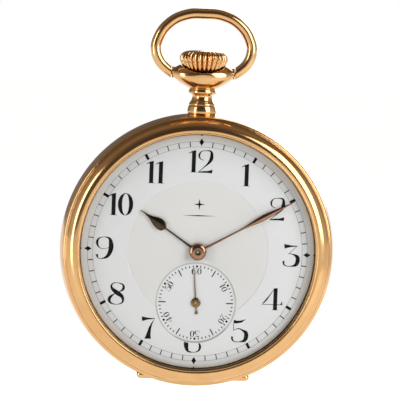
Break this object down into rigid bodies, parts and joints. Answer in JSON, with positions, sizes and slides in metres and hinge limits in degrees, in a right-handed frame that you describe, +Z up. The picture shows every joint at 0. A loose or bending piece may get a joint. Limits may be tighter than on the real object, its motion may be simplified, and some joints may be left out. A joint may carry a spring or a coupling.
{
  "type": "open face pocket watch",
  "caption": "Keyless open face pocket watch: hinged bezel and back, bow, fluted crown, enamel dial with sunk seconds, jewelled lever movement.",
  "frame": {"origin": "centre of the flat outer face of the back cover", "axes": "-Y out of the dial, +Z up to twelve o'clock and the pendant, +X to three o'clock"},
  "size_m": [0.05, 0.013, 0.069],
  "materials": {
    "case_gold": "polished rose-yellow gold",
    "crystal_glass": "clear polished mineral glass",
    "dial_enamel": "glossy white fired enamel",
    "hand_gold": "polished bronze-gold",
    "bridge_nickel": "striped nickelled brass",
    "wheel_gilt": "satin gilt brass",
    "polished_steel": "polished steel",
    "blued_steel": "heat-blued steel",
    "jewel_ruby": "polished synthetic ruby"
  },
  "bodies": {
    "case": {"case_middle": "case_gold", "pendant": "case_gold", "bezel_hinge_pin": "polished_steel", "cover_hinge_pin": "polished_steel", "mainplate": "bridge_nickel", "barrel_bridge": "bridge_nickel", "train_bridge": "bridge_nickel", "balance_cock": "bridge_nickel", "pallet_cock": "bridge_nickel", "case_screw_left": "blued_steel", "case_screw_right": "blued_steel", "barrel_bridge_screw_a": "blued_steel", "barrel_bridge_screw_b": "blued_steel", "train_bridge_screw_a": "blued_steel", "train_bridge_screw_b": "blued_steel", "balance_cock_screw": "blued_steel", "third_jewel": "jewel_ruby", "fourth_jewel": "jewel_ruby", "escape_jewel": "jewel_ruby", "balance_end_stone": "jewel_ruby", "crown_wheel_screw": "blued_steel", "click_spring": "polished_steel", "dial": "dial_enamel", "hairspring": "blued_steel"},
    "bezel": {"bezel": "case_gold", "crystal": "crystal_glass"},
    "back_cover": {"back_cover": "case_gold"},
    "cuvette": {"cuvette": "case_gold"},
    "bow": {"bow": "case_gold"},
    "winding_pinion": {"winding_pinion": "polished_steel"},
    "crown": {"crown": "case_gold", "winding_stem": "polished_steel"},
    "sliding_pinion": {"sliding_pinion": "polished_steel"},
    "crown_wheel": {"crown_wheel": "polished_steel"},
    "ratchet": {"ratchet_wheel": "polished_steel", "ratchet_screw": "blued_steel", "barrel_arbor": "polished_steel"},
    "click": {"click": "polished_steel"},
    "setting_lever": {"setting_lever": "polished_steel"},
    "yoke": {"yoke": "polished_steel"},
    "barrel": {"barrel": "wheel_gilt", "barrel_lid": "wheel_gilt", "mainspring": "blued_steel"},
    "centre_wheel": {"centre_wheel": "wheel_gilt"},
    "third_wheel": {"third_wheel": "wheel_gilt"},
    "seconds": {"fourth_wheel": "wheel_gilt", "seconds_hand": "hand_gold"},
    "escape_wheel": {"escape_wheel": "polished_steel"},
    "pallet_fork": {"pallet_fork": "polished_steel"},
    "balance": {"balance_wheel": "wheel_gilt"},
    "regulator": {"regulator": "polished_steel"},
    "minutes": {"cannon_pinion": "polished_steel", "minute_hand": "hand_gold"},
    "minute_wheel": {"minute_wheel": "wheel_gilt"},
    "hours": {"hour_wheel": "wheel_gilt", "hour_hand": "hand_gold"},
    "setting_wheel": {"setting_wheel": "polished_steel"}
  },
  "joints": [
    {"name": "bezel_hinge", "type": "hinge", "parent": "case", "child": "bezel", "pos_m": [0, -0.00795, -0.0229], "axis": [1, 0, 0], "range_deg": [0, 100]},
    {"name": "cover_hinge", "type": "hinge", "parent": "case", "child": "back_cover", "pos_m": [0, -0.00345, -0.0229], "axis": [-1, 0, 0], "range_deg": [0, 95]},
    {"name": "cuvette_hinge", "type": "hinge", "parent": "case", "child": "cuvette", "pos_m": [0, -0.00345, -0.0229], "axis": [-1, 0, 0], "range_deg": [0, 81]},
    {"name": "bow_swing", "type": "hinge", "parent": "case", "child": "bow", "pos_m": [0, -0.00575, 0.0323], "axis": [1, 0, 0], "range_deg": [-110, 110]},
    {"name": "crown_turn", "type": "hinge", "parent": "case", "child": "winding_pinion", "pos_m": [0, -0.00575, 0.0152], "axis": [0, 0, 1], "continuous": true},
    {"name": "crown_pull", "type": "slide", "parent": "winding_pinion", "child": "crown", "axis": [0, 0, 1], "range_m": [0, 0.001]},
    {"name": "clutch_slide", "type": "slide", "parent": "winding_pinion", "child": "sliding_pinion", "axis": [0, 0, 1], "range_m": [-0.0008, 0]},
    {"name": "crown_wheel_turn", "type": "hinge", "parent": "case", "child": "crown_wheel", "pos_m": [-0.0006, -0.003, 0.0114], "axis": [0, 1, 0], "continuous": true},
    {"name": "ratchet_turn", "type": "hinge", "parent": "case", "child": "ratchet", "pos_m": [0.0069, -0.003, 0.0052], "axis": [0, 1, 0], "continuous": true},
    {"name": "setting_lever_turn", "type": "hinge", "parent": "case", "child": "setting_lever", "pos_m": [0.0056, -0.0082, 0.017], "axis": [0, 1, 0], "range_deg": [0, 12.4]},
    {"name": "yoke_turn", "type": "hinge", "parent": "case", "child": "yoke", "pos_m": [-0.0065, -0.0082, 0.0122], "axis": [0, 1, 0], "range_deg": [0, 9]},
    {"name": "click_turn", "type": "hinge", "parent": "case", "child": "click", "pos_m": [0.0139, -0.003, 0.0088], "axis": [0, 1, 0], "range_deg": [0, 10], "stiffness_Nm_per_rad": 0.00001, "springref_deg": -5.73},
    {"name": "seconds_turn", "type": "hinge", "parent": "case", "child": "seconds", "pos_m": [0, -0.006, -0.0093], "axis": [0, 1, 0], "continuous": true},
    {"name": "third_turn", "type": "hinge", "parent": "case", "child": "third_wheel", "pos_m": [0.00443, -0.0053, -0.00678], "axis": [0, 1, 0], "continuous": true},
    {"name": "centre_turn", "type": "hinge", "parent": "case", "child": "centre_wheel", "pos_m": [0, -0.0047, 0], "axis": [0, 1, 0], "continuous": true},
    {"name": "barrel_turn", "type": "hinge", "parent": "case", "child": "barrel", "pos_m": [0.0069, -0.0058, 0.0052], "axis": [0, 1, 0], "continuous": true},
    {"name": "escape_turn", "type": "hinge", "parent": "case", "child": "escape_wheel", "pos_m": [-0.0043, -0.0062, -0.01185], "axis": [0, 1, 0], "continuous": true},
    {"name": "minute_hand_turn", "type": "hinge", "parent": "case", "child": "minutes", "pos_m": [0, -0.0082, 0], "axis": [0, 1, 0], "continuous": true},
    {"name": "minute_wheel_turn", "type": "hinge", "parent": "case", "child": "minute_wheel", "pos_m": [-0.0015, -0.0082, 0.00405], "axis": [0, 1, 0], "continuous": true},
    {"name": "hour_hand_turn", "type": "hinge", "parent": "case", "child": "hours", "pos_m": [0, -0.0085, 0], "axis": [0, 1, 0], "continuous": true},
    {"name": "setting_wheel_turn", "type": "hinge", "parent": "case", "child": "setting_wheel", "pos_m": [0, -0.0082, 0.00905], "axis": [0, 1, 0], "continuous": true},
    {"name": "pallet_rock", "type": "hinge", "parent": "case", "child": "pallet_fork", "pos_m": [-0.00652, -0.0062, -0.00889], "axis": [0, 1, 0], "range_deg": [-5, 5]},
    {"name": "balance_swing", "type": "hinge", "parent": "case", "child": "balance", "pos_m": [-0.0102, -0.0053, -0.004], "axis": [0, 1, 0], "range_deg": [-270, 270]},
    {"name": "regulator_turn", "type": "hinge", "parent": "case", "child": "regulator", "pos_m": [-0.0102, -0.0032, -0.004], "axis": [0, 1, 0], "range_deg": [-15, 15]}
  ],
  "couplings": [
    {"joint": "cuvette_hinge", "follows": "cover_hinge", "ratio": 0.85},
    {"joint": "clutch_slide", "follows": "crown_pull", "ratio": -0.8},
    {"joint": "setting_lever_turn", "follows": "crown_pull", "rad_per_m": 215},
    {"joint": "yoke_turn", "follows": "crown_pull", "rad_per_m": 155.5},
    {"joint": "crown_wheel_turn", "follows": "crown_turn", "ratio": -0.4},
    {"joint": "ratchet_turn", "follows": "crown_turn", "ratio": 0.2449},
    {"joint": "third_turn", "follows": "seconds_turn", "ratio": -0.13333},
    {"joint": "centre_turn", "follows": "seconds_turn", "ratio": 0.016667},
    {"joint": "barrel_turn", "follows": "seconds_turn", "ratio": -0.0020833},
    {"joint": "escape_turn", "follows": "seconds_turn", "ratio": -10},
    {"joint": "minute_wheel_turn", "follows": "minute_hand_turn", "ratio": -0.33333},
    {"joint": "hour_hand_turn", "follows": "minute_hand_turn", "ratio": 0.083333},
    {"joint": "setting_wheel_turn", "follows": "minute_hand_turn", "ratio": 0.54545}
  ]
}
